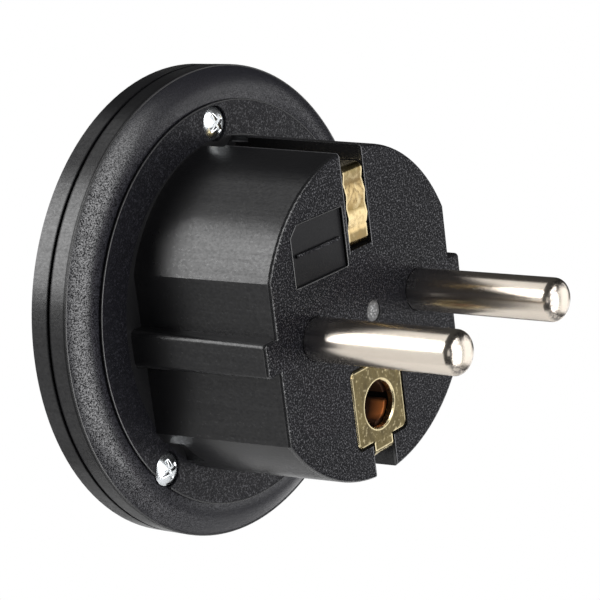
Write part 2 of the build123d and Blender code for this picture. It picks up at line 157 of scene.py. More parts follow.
class Graph:
    """Node tree of one material, with its Principled shader and Object coordinates in millimetres."""

    def __init__(self, name: str) -> None:
        """Makes the material and an empty tree that ends in a Principled shader.

        Args:
            name: The material's name.
        """
        self.material = bpy.data.materials.new(name)
        self.material.use_nodes = True
        self.tree = self.material.node_tree
        self.tree.nodes.clear()
        self.shader = self.node("ShaderNodeBsdfPrincipled")
        self.node("ShaderNodeOutputMaterial", {}, {"Surface": self.shader.outputs[0]})
        self.vector = self.node("ShaderNodeTexCoord").outputs["Object"]
        parts = self.node("ShaderNodeSeparateXYZ", {}, {"Vector": self.vector})
        self.x, self.y, self.z = (Sock(self, parts.outputs[axis.value]) / MM for axis in Axis)

    def node(self, kind: str, settings: dict[str, Any] | None = None,
             inputs: dict[Any, Any] | None = None) -> Any:
        """Adds any node.

        Args:
            kind: The node's type.
            settings: Attributes, set first. The key stops gives a colour ramp's (place, colour) pairs.
            inputs: Values, output sockets or Sock values by input name or number.

        Returns:
            The node.
        """
        made = self.tree.nodes.new(kind)
        for key, value in (settings or {}).items():
            if key == "stops":
                ramp = made.color_ramp.elements
                while len(ramp) < len(value):
                    ramp.new(0.5)
                for stop, (place, colour) in zip(ramp, value):
                    stop.position = place
                    stop.color = (*colour, 1.0)
            else:
                setattr(made, key, value)
        for key, value in (inputs or {}).items():
            target = made.inputs[key]
            source = value.socket if isinstance(value, Sock) else value
            if isinstance(source, bpy.types.NodeSocket):
                self.tree.links.new(source, target)
            elif target.type == "RGBA":
                target.default_value = (*source, 1.0)
            else:
                target.default_value = source
        return made

    def constants(self, **values: float) -> None:
        """Sets numbers that are the same all over on the shader's own sockets, named with _ for a space."""
        for key, value in values.items():
            self.shader.inputs[key.replace("_", " ")].default_value = value

    def feed(self, name: str, value: Any) -> None:
        """Links a changing value to one of the shader's inputs."""
        self.tree.links.new(value.socket if isinstance(value, Sock) else value, self.shader.inputs[name])

    def noise(self, pattern: Pattern) -> Sock:
        """Noise from 0 to 1 on Object coordinates, stretched where the pattern has a span.

        Args:
            pattern: Its scale, octaves and span.

        Returns:
            The noise value.
        """
        even = isinstance(pattern.scale, float)
        scale = (pattern.scale,) * 3 if even else pattern.scale
        mapped = self.node("ShaderNodeMapping", {}, {"Vector": self.vector, "Scale": scale})
        made = self.node("ShaderNodeTexNoise", {}, {
            "Vector": mapped.outputs[0], "Scale": 1.0, "Detail": pattern.detail, "Roughness": pattern.rough})
        value = Sock(self, made.outputs["Fac"])
        return step_mask(value, pattern.span) if pattern.span else value

    def mix(self, factor: Any, first: Any, second: Any) -> Any:
        """Colour that goes from the first to the second with the factor."""
        made = self.node("ShaderNodeMix", {"data_type": "RGBA"}, {0: factor, 6: first, 7: second})
        return made.outputs[2]

    def bump(self, height: Sock, depth: float) -> None:
        """Bump from a height of 0 to 1, as deep as given in metres."""
        made = self.node("ShaderNodeBump", {}, {"Height": height, "Distance": depth, "Strength": 1.0})
        self.feed("Normal", made.outputs[0])


def step_mask(value: Sock, span: Span) -> Sock:
    """Ramp in words: 0 at the span's start, 1 at its end, straight between, held outside."""
    start, end = span
    return ((value - start) / (end - start)).clamped()


def fade_mask(value: Sock, span: Span) -> Sock:
    """Ramp in words: 1 at the span's start, 0 at its end, straight between, held outside."""
    return 1.0 - step_mask(value, span)


def distance(first: Sock, second: Sock) -> Sock:
    """Distance in a plane: the root of the sum of both squares."""
    return (first * first + second * second).root()


@dataclass(frozen=True)
class Zones:
    """Masks of the moulding's zones, 1 inside and 0 outside."""

    face: Sock
    plateau: Sock
    round_over: Sock
    gate: Sock
    grained: Sock
    calm: Sock


@dataclass(frozen=True)
class MouldedPlastic:
    """Black moulding: glinting spark-erosion grain on faces and shoulder, drawn satin on sides and rims.

    Places are in millimetres in the part's frame, and depths of bump in metres.
    """

    name: str = "black_moulding"
    # Tones
    colour: Colour = (0.0062, 0.0062, 0.007)
    pale_tone: Colour = (0.017, 0.017, 0.018)
    cloud_share: float = 0.45
    # Painted glint and shade: grain tops painted lighter, pits painted darker.
    painted_pit_shade: Colour = (0.003, 0.003, 0.0042)
    painted_peak_glint: Colour = (0.023, 0.023, 0.029)
    # Painted highlight along the slot's edges on the pin face and at its top.
    slot_edge_highlight: Colour = (0.085, 0.085, 0.088)
    gate_colour: Colour = (0.42, 0.42, 0.42)
    gate_base: float = 0.25
    gate_peaks: float = 0.45
    # Patterns
    grain: Pattern = Pattern(7000.0, 1.0)
    specks: Pattern = Pattern(5200.0, 1.0)
    clusters: Pattern = Pattern(1500.0, 2.0)
    streaks: Pattern = Pattern((2600.0, 60.0, 2600.0))
    fine: Pattern = Pattern((4200.0, 2600.0, 4200.0), 1.0, 0.5)
    cloud: Pattern = Pattern(160.0, 3.0, 0.5)
    grain_depth: float = 0.07 * MM
    streak_depth: float = 0.010 * MM
    fine_depth: float = 0.012 * MM
    # Gloss of the grain
    glint_gain: float = 3.0
    glint_level: float = 0.40
    glint_cluster: float = 0.5
    flat_gain: float = 6.5
    flat_middle: float = 0.53
    flat_cluster: float = 0.9
    flat_share: float = 0.75
    round_share: float = 1.0
    plateau_level: float = 0.24
    plateau_calm: float = 0.42
    calm_level: float = 0.42
    calm_share: float = 0.7
    calm_bump: float = 0.6
    matt: float = 0.85
    # Gloss of the satin
    satin_share: float = 0.40
    satin_streak: float = 0.7
    satin_fine: float = 1.1
    under_matt: float = 0.8
    edge_gloss: float = 0.6
    # Shader numbers
    face_rough: float = 0.34
    side_rough: float = 0.30
    streak_rough: float = 0.1
    gate_rough: float = 0.15
    specular: float = 0.06
    coat_rough: float = 0.27
    coat_ior: float = 1.8
    # Places along Y
    face_end: Span = (0.03, 0.12)
    edge_rise: Span = (0.02, 0.08)
    edge_fall: Span = (0.34, 0.42)
    shoulder_rise: Span = (18.15, 18.2)
    crease_y: float = 19.93
    under_y: float = 20.09
    under_fade: Span = (0.06, 0.16)
    groove_y: float = 22.3
    lip_fade: Span = (0.26, 0.42)
    # Places round the plug axis
    body_radius: float = 19.0
    round_radius: float = 22.95
    inner_fade: Span = (23.25, 24.95)
    beside_crease: Span = (26.27, 26.39)
    flank_ramp: Span = (8.0, 16.0)
    calm_ramp: Span = (17.5, 24.0)
    # Places on the pin face
    panel_half_x: float = 4.7
    panel_half_z: float = 3.4
    panel_depth: float = 0.8
    slot_edge_x: float = 2.05
    slot_edge_half: float = 0.07
    slot_top_z: float = 7.2
    slot_low_z: float = -14.6
    slot_side_z: float = 16.0
    slot_depth: float = 17.8
    gate_x: float = 0.9
    gate_fade: Span = (0.45, 1.3)
    gate_depth: float = 0.6

    def zones(self, g: Graph) -> Zones:
        """Cuts the moulding into zones by place along Y and distance from the plug axis.

        Args:
            g: The material's graph.

        Returns:
            The masks.
        """
        radius = distance(g.x, g.z)
        face = fade_mask(g.y, self.face_end)
        shoulder = step_mask(g.y, self.shoulder_rise) * (g.y < self.crease_y) * (radius > self.body_radius)
        round_over = shoulder * (radius > self.round_radius)
        plateau = shoulder * (radius < self.round_radius)
        gate = fade_mask(distance(g.x - self.gate_x, g.z), self.gate_fade) * (g.y < self.gate_depth)
        calm = round_over * step_mask(abs(g.z), self.calm_ramp)
        return Zones(face, plateau, round_over, gate, (face + shoulder + gate).clamped(), calm)

    def peaks(self, g: Graph, zones: Zones, grain: Sock) -> Sock:
        """Tops of the grain: specks on flat zones, denser glints on the round-over, evener where it is calm.

        Args:
            g: The material's graph.
            zones: The masks.
            grain: Noise of the round-over.

        Returns:
            1 on a top, 0 in a pit.
        """
        clusters = g.noise(self.clusters).swing()
        glints = grain.swing() * self.glint_gain + self.glint_level
        glints = (glints + clusters * self.glint_cluster).clamped()
        glints = glints + zones.calm * (self.calm_level - glints) * self.calm_share
        flat = (g.noise(self.specks) - self.flat_middle) * self.flat_gain
        flat = (flat + clusters * self.flat_cluster).clamped()
        flat = flat + zones.plateau * (self.plateau_level - flat) * self.plateau_calm
        return flat + zones.round_over * (glints - flat)

    def skin(self, g: Graph, zones: Zones, peaks: Sock, streaks: Sock, fine: Sock) -> Sock:
        """Weight of the glossy skin, on the grain's tops and in streaks on the smooth zones.

        It is weaker beside the crease, on the inner side of the round-over's flanks, in the panel and at the
        groove, and stronger on the rounded edge of the face.

        Args:
            g: The material's graph.
            zones: The masks.
            peaks: Tops of the grain.
            streaks: Noise drawn out along Y.
            fine: Fine noise.

        Returns:
            The weight.
        """
        radius = distance(g.x, g.z)
        gain = self.round_share - self.flat_share
        beside = step_mask(radius, self.beside_crease)
        share = self.flat_share + zones.round_over * gain * (1.0 - beside * self.matt)
        flank = zones.round_over * fade_mask(radius, self.inner_fade) * step_mask(abs(g.x), self.flank_ramp)
        share = share * (1.0 - flank * self.matt)
        panel = (abs(g.x - PANEL_X) < self.panel_half_x) * (abs(g.z - PANEL_Z) < self.panel_half_z)
        panel = panel * (g.y < self.panel_depth)
        lip = fade_mask(abs(g.y - self.groove_y), self.lip_fade)
        under = fade_mask(abs(g.y - self.under_y), self.under_fade)
        edge = step_mask(g.y, self.edge_rise) * fade_mask(g.y, self.edge_fall) * (1.0 - panel)
        satin = 1.0 + streaks.swing() * self.satin_streak + fine.swing() * self.satin_fine
        satin = self.satin_share * satin * (1.0 - panel * self.matt) * (1.0 - lip * self.matt)
        satin = satin * (1.0 - under * self.under_matt) + edge * self.edge_gloss
        return zones.grained * peaks * share + (1.0 - zones.grained) * satin

    def build(self) -> bpy.types.Material:
        """Grain is noise on Object coordinates, masked to the pin face and the flange's shoulder.

        Its peaks carry a glossy skin, so a highlight breaks up into glints there.

        Returns:
            The material.
        """
        g = Graph(self.name)
        zones = self.zones(g)
        smooth_zone = 1.0 - zones.grained
        grain, streaks, fine = (g.noise(pattern) for pattern in (self.grain, self.streaks, self.fine))
        smooth = streaks * (self.streak_depth / self.grain_depth)
        smooth = smooth + fine * (self.fine_depth / self.grain_depth)
        rough_grain = zones.grained * grain * (1.0 - zones.calm * self.calm_bump)
        g.bump(rough_grain + smooth_zone * smooth, self.grain_depth)
        peaks = self.peaks(g, zones, grain)
        g.feed("Coat Weight", self.skin(g, zones, peaks, streaks, fine))
        clouds = (g.noise(self.cloud) * self.cloud_share).clamped()
        tone = g.mix(clouds, self.colour, self.pale_tone)
        # Painted glints and shade: the grained zones go lighter on the grain tops and darker in the pits.
        tone = g.mix(zones.grained, tone, g.mix(peaks, self.painted_pit_shade, self.painted_peak_glint))
        # Painted highlight: the slot's edges are painted lighter.
        slot_highlight = (abs(abs(g.x) - self.slot_edge_x) < self.slot_edge_half) * (g.y < self.slot_depth)
        slot_highlight = slot_highlight * ((g.z > self.slot_top_z) + (g.z < self.slot_low_z))
        tone = g.mix(slot_highlight * ((g.z > self.slot_side_z) + zones.face).clamped(), tone, self.slot_edge_highlight)
        gate = zones.gate * (peaks * self.gate_peaks + self.gate_base)
        g.feed("Base Color", g.mix(gate, tone, self.gate_colour))
        rough = self.side_rough + zones.grained * (self.face_rough - self.side_rough)
        rough = rough + streaks.swing() * self.streak_rough * smooth_zone
        g.feed("Roughness", rough + zones.gate * self.gate_rough)
        g.constants(Specular_IOR_Level=self.specular, Coat_Roughness=self.coat_rough, Coat_IOR=self.coat_ior)
        return g.material


@dataclass(frozen=True)
class ClipBrass:
    """Pressed brass strip whose brass tone is painted lighter and darker from fold to fold as painted light
    and shade, with scratches in a V across its middle.
    """

    name: str = "pressed_brass"
    low_z: float = 7.6
    high_z: float = 17.2
    fold_waver: float = 0.5
    wobble: Pattern = Pattern(700.0)
    smudge: Pattern = Pattern((1300.0, 1300.0, 1000.0), span=(0.46, 0.66))
    smudge_share: float = 0.55
    smudge_colour: Colour = (0.30, 0.20, 0.08)
    scratch_rise: Span = (12.3, 12.5)
    scratch_fall: Span = (14.4, 14.6)
    scratch_pitch: float = 1.15
    scratch_slope: float = 1.3
    scratch_waver: float = 2.4
    scratch_wave: Span = (0.1, 0.9)
    scratch_share: float = 0.5
    scratch_colour: Colour = (0.16, 0.10, 0.04)
    scratch_rough: float = 0.1
    scratch_sunk: float = 0.22
    # Painted highlights: a pale band along both long edges and scattered pale spots.
    edge_highlight_span: Span = (1.42, 1.62)
    edge_highlight_share: float = 0.8
    shine_span: Span = (0.54, 0.68)
    shine_share: float = 0.4
    shine_colour: Colour = (0.98, 0.82, 0.50)
    rough: float = 0.19
    rough_span: float = 0.2
    dent_depth: float = 0.04 * MM
    # Painted light and shade: each fold's brass tone is lighter or darker as the light falls on it.
    painted_fold_light: tuple[tuple[float, Colour], ...] = (
        (8.2, (0.26, 0.19, 0.085)),
        (9.15, (0.30, 0.22, 0.10)),
        (9.45, (0.80, 0.60, 0.30)),
        (10.2, (0.84, 0.65, 0.34)),
        (11.4, (0.90, 0.71, 0.38)),
        (11.8, (0.30, 0.21, 0.08)),
        (12.2, (0.36, 0.25, 0.10)),
        (12.7, (0.56, 0.41, 0.19)),
        (13.8, (0.72, 0.54, 0.27)),
        (14.3, (0.60, 0.44, 0.21)),
        (14.6, (0.22, 0.15, 0.065)),
        (15.2, (0.26, 0.19, 0.085)),
        (16.3, (0.30, 0.24, 0.11)),
    )

    def build(self) -> bpy.types.Material:
        """A ramp along Z paints each fold's light and shade; waves along Z plus the distance from the middle
        give the V.

        Returns:
            The material.
        """
        g = Graph(self.name)
        x, z = g.x, g.z
        stops = [((place - self.low_z) / (self.high_z - self.low_z), colour) for place, colour in self.painted_fold_light]
        wobble = g.noise(self.wobble)
        height = step_mask(z + wobble.swing() * self.fold_waver, (self.low_z, self.high_z))
        ramp = g.node("ShaderNodeValToRGB", {"stops": stops}, {"Fac": height})
        wave = z + abs(x) * self.scratch_slope + wobble.swing() * self.scratch_waver
        wave = (wave * (2.0 * np.pi / self.scratch_pitch)).sine()
        inside = step_mask(z, self.scratch_rise) * fade_mask(z, self.scratch_fall)
        scratch = inside * step_mask(wave, self.scratch_wave)
        tone = g.mix(scratch * self.scratch_share, ramp.outputs["Color"], self.scratch_colour)
        tone = g.mix(g.noise(self.smudge) * self.smudge_share, tone, self.smudge_colour)
        # Painted highlight: pale tone along the edges and in scattered spots.
        edge = step_mask(abs(x), self.edge_highlight_span)
        shine = step_mask(wobble, self.shine_span) * self.shine_share + edge * self.edge_highlight_share
        g.feed("Base Color", g.mix(shine.clamped(), tone, self.shine_colour))
        g.feed("Roughness", self.rough + scratch * self.scratch_rough + wobble.swing() * self.rough_span)
        g.bump(wobble - scratch * self.scratch_sunk, self.dent_depth)
        g.constants(Metallic=1.0)
        return g.material


@dataclass(frozen=True)
class EdgePlastic:
    """Smooth black plastic on the thin moulded lines."""

    name: str = "smooth_edge"
    # These default tones are lighter than the moulding's: a painted highlight on the lines.
    colour: Colour = (0.020, 0.020, 0.021)
    pale_tone: Colour = (0.055, 0.055, 0.056)
    cloud: Pattern = Pattern(300.0, 3.0, 0.5)
    # Painted shade: over these heights the lines darken and lose gloss towards the top and the bottom.
    top_shade: Span = (7.0, 16.0)
    low_shade: Span = (-12.5, -18.0)
    shade_share: float = 0.75
    shade_rough: float = 0.3
    rough: float = 0.16
    rough_span: float = 0.12
    coat_rough: float = 0.25
    specular: float = 0.3

    def build(self) -> bpy.types.Material:
        """Slow clouds in tone and roughness; towards the top and the bottom the lines are painted darker and
        less glossy, as painted shade.

        Returns:
            The material.
        """
        g = Graph(self.name)
        cloud = g.noise(self.cloud)
        # Painted shade: darker and less glossy towards the top and the bottom.
        painted_shade = step_mask(g.z, self.top_shade) + step_mask(g.z, self.low_shade)
        gloss = 1.0 - painted_shade * self.shade_share
        g.feed("Base Color", g.mix(cloud * gloss, self.colour, self.pale_tone))
        g.feed("Roughness", self.rough + cloud * self.rough_span + (1.0 - gloss) * self.shade_rough)
        g.feed("Coat Weight", gloss)
        g.constants(Coat_Roughness=self.coat_rough, Specular_IOR_Level=self.specular)
        return g.material


@dataclass(frozen=True)
class Metal:
    """Plated or rolled metal with tone clouds, fine drawn lines and small dents."""

    name: str
    colour: Colour
    dull: Colour
    rough: float
    rough_span: float
    line_axis: Axis = Axis.Y
    line_depth: float = 0.004 * MM
    dent_depth: float = 0.0
    dull_share: float = 0.5
    across_per_m: float = 2400.0
    along_per_m: float = 120.0
    cloud: Pattern = Pattern(420.0, 4.0, span=(0.35, 0.75))
    dents: Pattern = Pattern(900.0, 2.0, 0.5)

    def build(self) -> bpy.types.Material:
        """Drawn lines are noise stretched along one axis; dull clouds darken and roughen the metal.

        Returns:
            The material.
        """
        g = Graph(self.name)
        scale = [self.across_per_m] * 3
        scale[self.line_axis.value] = self.along_per_m
        lines = g.noise(Pattern(tuple(scale)))
        cloud = g.noise(self.cloud)
        g.feed("Base Color", g.mix(cloud * self.dull_share, self.colour, self.dull))
        g.feed("Roughness", self.rough + cloud * self.rough_span + lines.swing() * self.rough_span)
        if self.dent_depth > 0.0:
            g.bump(g.noise(self.dents) + lines * (self.line_depth / self.dent_depth), self.dent_depth)
        else:
            g.bump(lines, self.line_depth)
        g.constants(Metallic=1.0)
        return g.material


@dataclass(frozen=True)
class PlateBrass:
    """Aged olive brass plate with a painted highlight along its punched edges and hole rim."""

    name: str = "aged_brass"
    colour: Colour = (0.165, 0.130, 0.057)
    dull: Colour = (0.065, 0.049, 0.022)
    dull_share: float = 0.85
    # Painted highlight: this pale tone is laid along the rims and the hole, plus random pale flecks.
    pale_tone: Colour = (0.98, 0.84, 0.52)
    rim_highlight_base: float = 0.75
    rim_highlight_cloud: float = 0.4
    rim_highlight_smooth: float = 0.05
    cloud: Pattern = Pattern((700.0, 700.0, 420.0), 4.0, 0.65, (0.35, 0.7))
    lines: Pattern = Pattern((2400.0, 2400.0, 120.0))
    line_share: float = 0.2
    dents: Pattern = Pattern(900.0, 2.0, 0.5)
    dent_depth: float = 0.03 * MM
    flecks: Pattern = Pattern(1900.0, 2.0, span=(0.56, 0.70))
    fleck_share: float = 0.35
    rough: float = 0.22
    rough_span: float = 0.12
    half_width: float = 4.5
    half_height: float = 4.4
    centre_z: float = -9.95
    margin: float = 0.3
    edge_band: Span = (0.30, 0.12)
    tab_half: float = 1.65
    tab_band: Span = (0.22, 0.08)
    tab_end_z: float = -15.5
    tab_end_fade: Span = (0.16, 0.30)
    hole_z: float = -10.4
    hole_fade: Span = (2.81, 2.97)

    @staticmethod
    def near(value: Sock, limit: float, band: Span) -> Sock:
        """Ramp that starts and is full at the band's two distances inside the limit."""
        return step_mask(value, (limit - band[0], limit - band[1]))

    def rims(self, x: Sock, z: Sock) -> Sock:
        """Adds up the painted highlight bands along the outline, the tab's sides and end, and the hole.

        Args:
            x: Place along X.
            z: Place along Z.

        Returns:
            1 or more on a rim, 0 away from all.
        """
        wide, high = abs(x), abs(z - self.centre_z)
        sides = self.near(wide, self.half_width, self.edge_band) * (high < self.half_height + self.margin)
        over_tab = (wide < self.tab_half + self.margin) * (z < self.centre_z)
        ends = self.near(high, self.half_height, self.edge_band) * (1.0 - over_tab)
        tab = self.near(wide, self.tab_half, self.tab_band) * over_tab * (high > self.half_height)
        hole = fade_mask(distance(x, z - self.hole_z), self.hole_fade)
        return sides + ends + tab + hole + fade_mask(abs(z - self.tab_end_z), self.tab_end_fade)

    def build(self) -> bpy.types.Material:
        """Clouds vary the tone; the rims carry a painted highlight and some flecks are paler.

        Returns:
            The material.
        """
        g = Graph(self.name)
        cloud = g.noise(self.cloud)
        lines = g.noise(self.lines)
        # Painted highlight along the rims and the hole, plus random pale flecks.
        pale_tone = self.rims(g.x, g.z) * (self.rim_highlight_base + cloud * self.rim_highlight_cloud)
        pale_tone = (pale_tone + g.noise(self.flecks) * self.fleck_share).clamped()
        tone = g.mix(cloud * self.dull_share, self.colour, self.dull)
        g.feed("Base Color", g.mix(pale_tone, tone, self.pale_tone))
        rough = self.rough + cloud * self.rough_span + lines.swing() * self.rough_span
        g.feed("Roughness", rough - pale_tone * self.rim_highlight_smooth)
        g.bump(g.noise(self.dents) + lines * self.line_share, self.dent_depth)
        g.constants(Metallic=1.0)
        return g.material


@dataclass(frozen=True)
class CopperLeaf:
    """Copper-coloured leaves painted dark as painted shade, but for one patch near the mouth of the earth
    hole that is painted bright as painted light.
    """

    name: str = "copper_leaf"
    lit_patch: Colour = (0.66, 0.215, 0.062)
    shaded: Colour = (0.060, 0.028, 0.016)
    cloud: Pattern = Pattern(600.0)
    lines: Pattern = Pattern((2400.0, 120.0, 2400.0))
    line_depth: float = 0.004 * MM
    lit_patch_low: Span = (-12.7, -12.3)
    lit_patch_high: Span = (-11.1, -10.8)
    lit_patch_depth: Span = (1.5, 3.1)
    waver: float = 0.5
    depth_waver: float = 0.8
    rough: float = 0.46
    rough_span: float = 0.2
    metallic: float = 0.3
    specular: float = 0.25

    def build(self) -> bpy.types.Material:
        """The painted lit patch lies between two heights near the mouth, with a wavering edge.

        Returns:
            The material.
        """
        g = Graph(self.name)
        cloud = g.noise(self.cloud)
        lines = g.noise(self.lines)
        height = g.z + cloud.swing() * self.waver
        # Painted light on one patch near the mouth, painted shade on the rest.
        lit_patch = step_mask(height, self.lit_patch_low) * fade_mask(height, self.lit_patch_high)
        lit_patch = lit_patch * fade_mask(g.y + cloud.swing() * self.depth_waver, self.lit_patch_depth)
        g.feed("Base Color", g.mix(lit_patch, self.shaded, self.lit_patch))
        g.feed("Roughness", self.rough + lines.swing() * self.rough_span)
        g.bump(lines, self.line_depth)
        g.constants(Metallic=self.metallic, Specular_IOR_Level=self.specular)
        return g.material


@dataclass(frozen=True)
class PinNickel:
    """Polished nickel with faint turned rings, a painted dark reflection towards the moulding and a painted
    dark ring, speckled like pits, round the tip.
    """

    name: str = "polished_nickel"
    colour: Colour = (0.90, 0.81, 0.70)
    dull: Colour = (0.78, 0.68, 0.58)
    dull_share: float = 0.5
    cloud: Pattern = Pattern((420.0, 160.0, 420.0), 4.0, span=(0.35, 0.75))
    # Painted reflection: the tone the pin goes to near the moulding.
    root: Colour = (0.62, 0.60, 0.58)
    root_reflection_fade: Span = (0.5, 5.5)
    root_reflection_power: float = 1.4
    # Painted dark reflection round the tip, speckled like pits.
    painted_tip_shade: Colour = (0.16, 0.145, 0.14)
    pits: Pattern = Pattern(2800.0, 2.0, span=(0.42, 0.56))
    tip_shade_base: float = 0.35
    tip_shade_share: float = 0.5
    tip_ring_rise: Span = (1.25, 1.6)
    tip_ring_fall: Span = (2.15, 2.35)
    tip_y: float = -17.3
    rings: Pattern = Pattern((60.0, 3800.0, 60.0), 2.0)
    ring_rough: float = 0.04
    ring_depth: float = 0.0012 * MM
    rough: float = 0.25
    rough_span: float = 0.06

    def build(self) -> bpy.types.Material:
        """Clouds along the pin vary tone and roughness; it is painted darker towards the pin face and round
        the tip, as painted reflection.

        Returns:
            The material.
        """
        g = Graph(self.name)
        cloud = g.noise(self.cloud)
        rings = g.noise(self.rings)
        tone = g.mix(cloud * self.dull_share, self.colour, self.dull)
        from_axis = distance(abs(g.x) - PIN_X, g.z)
        # Painted dark reflection in a ring round the tip.
        on_tip = step_mask(from_axis, self.tip_ring_rise) * fade_mask(from_axis, self.tip_ring_fall)
        on_tip = on_tip * (g.y < self.tip_y)
        painted_tip_shade = on_tip * (self.tip_shade_base + g.noise(self.pits) * self.tip_shade_share)
        tone = g.mix(painted_tip_shade, tone, self.painted_tip_shade)
        # Painted reflection: darker towards the moulding.
        painted_root_reflection = fade_mask(g.y * -1.0, self.root_reflection_fade) ** self.root_reflection_power
        g.feed("Base Color", g.mix(painted_root_reflection, tone, self.root))
        rough = self.rough + cloud.swing() * self.rough_span
        g.feed("Roughness", rough + rings.swing() * self.ring_rough)
        g.bump(rings, self.ring_depth)
        g.constants(Metallic=1.0)
        return g.material


@dataclass(frozen=True)
class StudioFloor:
    """Pale matt paper."""

    name: str = "pale_paper"
    colour: Colour = (0.93, 0.93, 0.93)
    shade: Colour = (0.9, 0.9, 0.9)
    cloud: Pattern = Pattern(6.0, 2.0, 0.55)
    rough: float = 0.95

    def build(self) -> bpy.types.Material:
        """Very faint clouds in a pale tone.

        Returns:
            The material.
        """
        g = Graph(self.name)
        g.feed("Base Color", g.mix(g.noise(self.cloud), self.colour, self.shade))
        g.constants(Roughness=self.rough)
        return g.material


class Finish(Enum):
    """The named finishes of the part."""

    MOULDING = MouldedPlastic()
    EDGE = EdgePlastic()
    PANEL_EDGE = EdgePlastic("panel_edge", (0.007, 0.007, 0.008), (0.018, 0.018, 0.019))
    CLIP = ClipBrass()
    NICKEL = PinNickel()
    STRAP_BRASS = Metal("rolled_brass", (0.72, 0.50, 0.22), (0.42, 0.28, 0.11), 0.16, 0.12, Axis.Z,
                        dent_depth=0.02 * MM, dull_share=0.6)
    AGED_BRASS = PlateBrass()
    CONTACT_BRASS = Metal("contact_brass", (0.84, 0.64, 0.31), (0.6, 0.43, 0.2), 0.24, 0.12)
    COPPER = CopperLeaf()
    SCREW_ZINC = Metal("bright_zinc", (0.80, 0.83, 0.85), (0.58, 0.61, 0.64), 0.24, 0.06, Axis.X,
                       line_depth=0.001 * MM)
    ZINC = Metal("zinc_plate", (0.74, 0.76, 0.78), (0.5, 0.52, 0.54), 0.22, 0.12, Axis.X,
                 line_depth=0.003 * MM, dent_depth=0.012 * MM)

    def material(self) -> bpy.types.Material:
        """The finish's material, made once."""
        return bpy.data.materials.get(self.value.name) or self.value.build()


FINISH_NODES: dict[Finish, tuple[str, ...]] = {
    Finish.MOULDING: ("plug_housing", "front_cover"),
    Finish.NICKEL: ("line_pin", "neutral_pin"),
    Finish.CONTACT_BRASS: ("line_contact", "neutral_contact", "socket_earth_contact"),
    Finish.CLIP: ("earth_top_clip",),
    Finish.AGED_BRASS: ("earth_bottom_plate",),
    Finish.STRAP_BRASS: ("earth_bridge",),
    Finish.COPPER: ("earth_pin_sleeve",),
    Finish.ZINC: ("earth_rivets", "bridge_screw"),
    Finish.SCREW_ZINC: ("cover_screws",),
}


def dress_nodes() -> None:
    """Gives each carried-over solid its finish."""
    for finish, names in FINISH_NODES.items():
        for name in names:
            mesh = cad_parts[name].data
            mesh.materials.clear()
            mesh.materials.append(finish.material())
            LOG.info("%s: %s", name, finish.value.name)


def round_angles(count: int) -> np.ndarray:
    """Angles in radians at equal steps round a full circle."""
    return np.linspace(0.0, 2.0 * np.pi, count, endpoint=False)


def ring_quads(rows: int, count: int, closed: bool = False) -> np.ndarray:
    """Quads between neighbouring rings, where point j of ring i is vertex i times count plus j.

    Args:
        rows: Number of rings.
        count: Points in each ring.
        closed: Whether the last ring joins the first.

    Returns:
        Faces by 4 vertex numbers.
    """
    i, j = np.meshgrid(np.arange(rows if closed else rows - 1), np.arange(count), indexing="ij")
    after, beside = (i + 1) % rows, (j + 1) % count
    corners = [i * count + j, i * count + beside, after * count + beside, after * count + j]
    return np.stack(corners, axis=-1).reshape(-1, 4)


def turned_faces(rows: int, count: int, start: int = 0) -> list[list[int]]:
    """Faces of a turned piece: quads between its rings and a fan to a pole at each end, wound outwards.

    Args:
        rows: Number of rings.
        count: Points in each ring.
        start: Number of the piece's first vertex.

    Returns:
        Faces by vertex number; the two poles follow the rings.
    """
    around = np.arange(count)
    after = (around + 1) % count
    last_ring = (rows - 1) * count
    first = np.stack([np.full(count, rows * count), after, around], axis=-1)
    last = np.stack([np.full(count, rows * count + 1), last_ring + around, last_ring + after], axis=-1)
    quads = ring_quads(rows, count)
    return (quads + start).tolist() + (first + start).tolist() + (last + start).tolist()


def add_piece(name: str, points: np.ndarray, faces: list[list[int]], finish: Finish,
              sharp_angle: float | None = None) -> bpy.types.Object:
    """Makes a smooth piece that rides on the part's body, and reports it.

    Args:
        name: The piece's name.
        points: Vertices by 3.
        faces: Faces by vertex number.
        finish: Its finish.
        sharp_angle: Angle in degrees past which an edge stays sharp, if any does.

    Returns:
        The finished piece.
    """
    mesh = bpy.data.meshes.new(name)
    mesh.from_pydata(points.tolist(), [], faces)
    mesh.polygons.foreach_set("use_smooth", np.ones(len(faces), dtype=bool))
    if sharp_angle is not None:
        mesh.set_sharp_from_angle(angle=np.radians(sharp_angle))
    mesh.materials.append(finish.material())
    piece = bpy.data.objects.new(name, mesh)
    bpy.context.scene.collection.objects.link(piece)
    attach(piece, "root")
    LOG.info("%s: %d faces", name, len(faces))
    return piece


